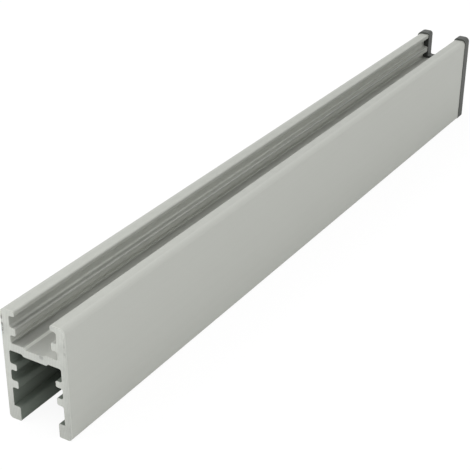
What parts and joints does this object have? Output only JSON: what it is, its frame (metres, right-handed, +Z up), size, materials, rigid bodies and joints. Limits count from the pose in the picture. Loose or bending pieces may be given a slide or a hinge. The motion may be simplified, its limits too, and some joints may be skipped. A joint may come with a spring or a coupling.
{
  "type": "glass door profile",
  "caption": "Extruded aluminium H-section glass door rail: shallow grooved channel above, deep grooved channel below for the glass, dark moulded cap closing the wall ends at one end.",
  "frame": {"origin": "on the floor plane, under the middle of the whole part", "axes": "+X across the rail to its right wall seen from the bare sawn end, +Y along it to the capped end, +Z up"},
  "size_m": [0.0226, 0.2796, 0.0368],
  "materials": {
    "anodised_aluminium": "satin, clear anodised, with a sawn end",
    "grey_plastic": "moulded, fine satin"
  },
  "bodies": {
    "root": {"profile": "anodised_aluminium", "end_cap": "grey_plastic"}
  },
  "joints": []
}
